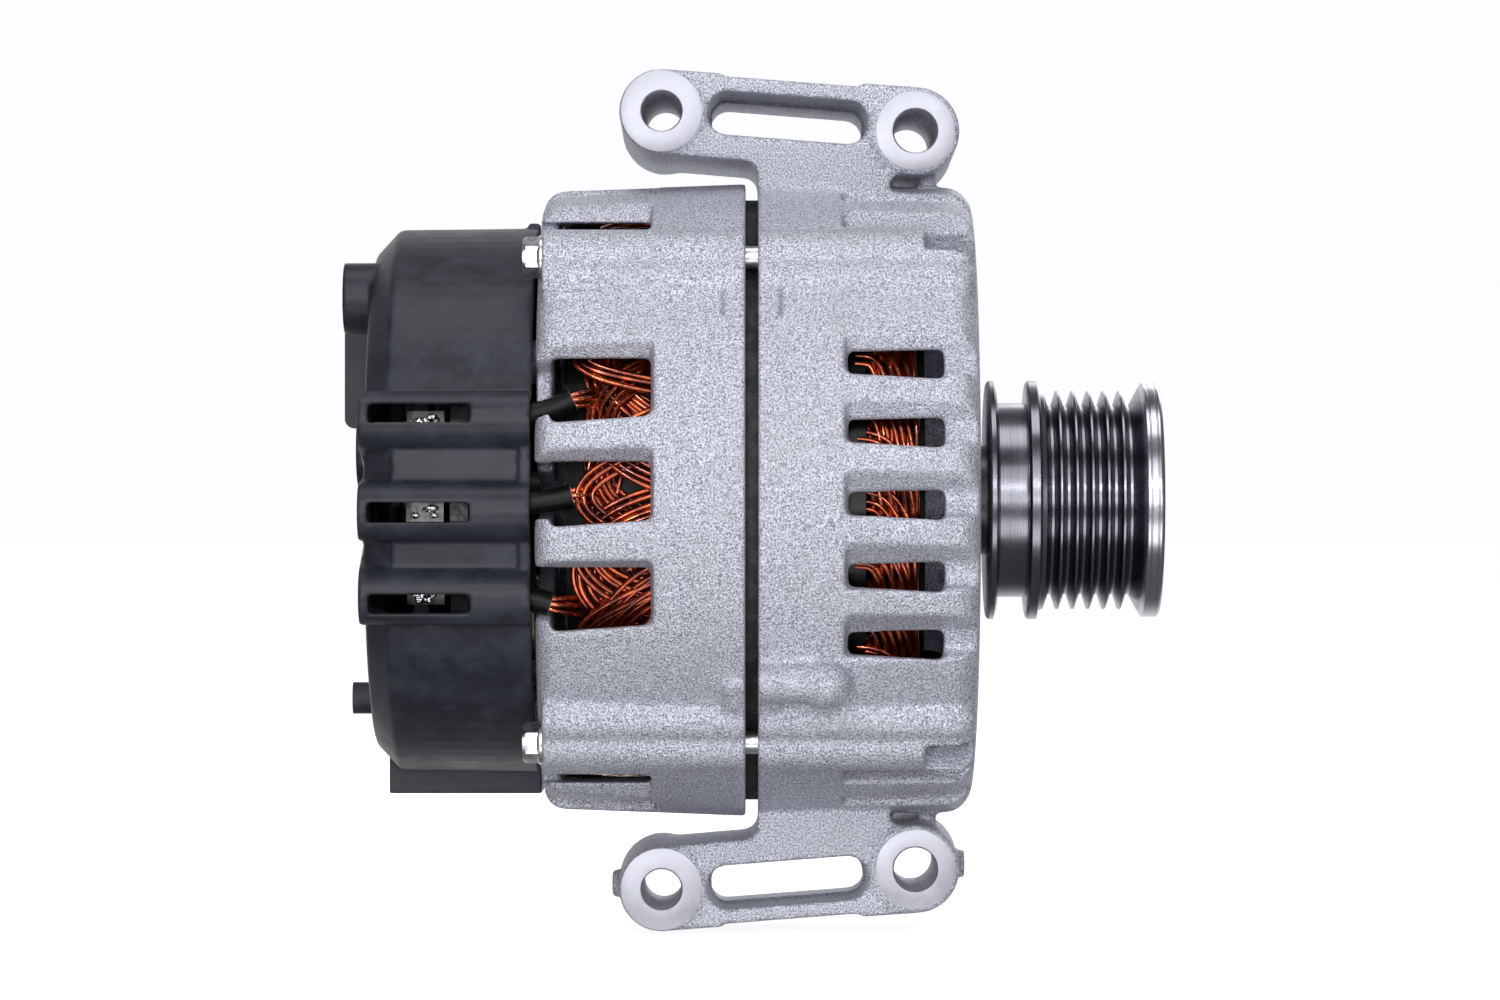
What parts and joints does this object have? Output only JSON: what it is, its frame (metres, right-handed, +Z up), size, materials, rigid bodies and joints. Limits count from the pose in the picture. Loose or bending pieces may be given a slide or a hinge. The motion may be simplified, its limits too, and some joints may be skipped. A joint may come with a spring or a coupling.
{
  "type": "car alternator",
  "caption": "Car alternator with a grooved belt pulley, slotted cast housings, copper windings, four side-mounting lugs and a black rear cover.",
  "frame": {"origin": "centre of the overall box, on the rotor axis midway along the overall length", "axes": "+X along the rotor axis towards the belt pulley, +Z up towards the longer pair of mounting lugs, -Y the way the machined lug faces look"},
  "size_m": [0.1868, 0.1446, 0.1968],
  "materials": {
    "cast_aluminium": "as cast, fine grain",
    "zinc_steel": "zinc plated",
    "laminated_steel": "varnished laminations",
    "enamelled_copper": "enamelled wire",
    "sleeve_black": "matte",
    "bearing_steel": "ground",
    "seal_rubber": "matte",
    "cage_plastic": "moulded",
    "heat_sink_aluminium": "stamped",
    "diode_copper": "nickel plated",
    "black_plastic": "moulded, fine grain",
    "tinned_copper": "tinned",
    "forged_steel": "forged, machined outside",
    "fan_steel": "stamped",
    "slip_ring_copper": "polished",
    "pulley_steel": "turned",
    "carbon": "pressed carbon",
    "spring_steel": "wire"
  },
  "bodies": {
    "stator_side": {"front_housing": "cast_aluminium", "rear_housing": "cast_aluminium", "through_bolts": "zinc_steel", "stator_core": "laminated_steel", "winding_slot_bars": "enamelled_copper", "front_end_winding": "enamelled_copper", "rear_end_winding": "enamelled_copper", "phase_lead_wires": "enamelled_copper", "phase_lead_sleeves": "sleeve_black", "front_bearing_outer_race": "bearing_steel", "front_bearing_seals": "seal_rubber", "bearing_retainer": "zinc_steel", "retainer_screws": "zinc_steel", "rear_bearing_outer_race": "bearing_steel", "rear_bearing_seals": "seal_rubber", "rear_bearing_sleeve": "cage_plastic", "rectifier_negative_plate": "heat_sink_aluminium", "rectifier_positive_plate": "heat_sink_aluminium", "negative_diodes": "diode_copper", "positive_diodes": "diode_copper", "rectifier_terminal_carrier": "black_plastic", "phase_terminals": "tinned_copper", "rectifier_spacers": "black_plastic", "rectifier_screws": "zinc_steel", "regulator": "black_plastic", "connector_pins": "tinned_copper", "brush_spring_outer": "spring_steel", "brush_spring_inner": "spring_steel", "output_stud": "tinned_copper", "output_stud_nut": "tinned_copper", "rear_cover": "black_plastic", "cover_studs": "zinc_steel", "cover_nuts": "black_plastic"},
    "rotor": {"rotor_shaft": "forged_steel", "rotor_core": "forged_steel", "claw_pole_front": "forged_steel", "claw_pole_rear": "forged_steel", "field_bobbin": "black_plastic", "field_coil": "enamelled_copper", "front_fan": "fan_steel", "rear_fan": "fan_steel", "slip_ring_carrier": "black_plastic", "slip_ring_outer": "slip_ring_copper", "slip_ring_inner": "slip_ring_copper", "front_bearing_inner_race": "bearing_steel", "rear_bearing_inner_race": "bearing_steel", "pulley_spacer": "forged_steel", "pulley": "pulley_steel", "pulley_nut": "pulley_steel"},
    "front_ball_set": {"front_bearing_balls": "bearing_steel", "front_bearing_cage": "cage_plastic"},
    "rear_ball_set": {"rear_bearing_balls": "bearing_steel", "rear_bearing_cage": "cage_plastic"},
    "outer_brush": {"brush_outer": "carbon"},
    "inner_brush": {"brush_inner": "carbon"}
  },
  "joints": [
    {"name": "rotor_spin", "type": "hinge", "parent": "stator_side", "child": "rotor", "pos_m": [0, 0, 0], "axis": [1, 0, 0], "continuous": true},
    {"name": "front_ball_set_spin", "type": "hinge", "parent": "stator_side", "child": "front_ball_set", "pos_m": [0.0425, 0, 0], "axis": [1, 0, 0], "continuous": true},
    {"name": "rear_ball_set_spin", "type": "hinge", "parent": "stator_side", "child": "rear_ball_set", "pos_m": [-0.041, 0, 0], "axis": [1, 0, 0], "continuous": true},
    {"name": "outer_brush_slide", "type": "slide", "parent": "stator_side", "child": "outer_brush", "axis": [0, 0, 1], "range_m": [0, 0.004], "stiffness_N_per_m": 150, "springref_m": -0.012, "deforming": ["brush_spring_outer"]},
    {"name": "inner_brush_slide", "type": "slide", "parent": "stator_side", "child": "inner_brush", "axis": [0, 0, 1], "range_m": [0, 0.004], "stiffness_N_per_m": 150, "springref_m": -0.012, "deforming": ["brush_spring_inner"]}
  ],
  "couplings": [
    {"joint": "front_ball_set_spin", "follows": "rotor_spin", "ratio": 0.364},
    {"joint": "rear_ball_set_spin", "follows": "rotor_spin", "ratio": 0.393}
  ]
}
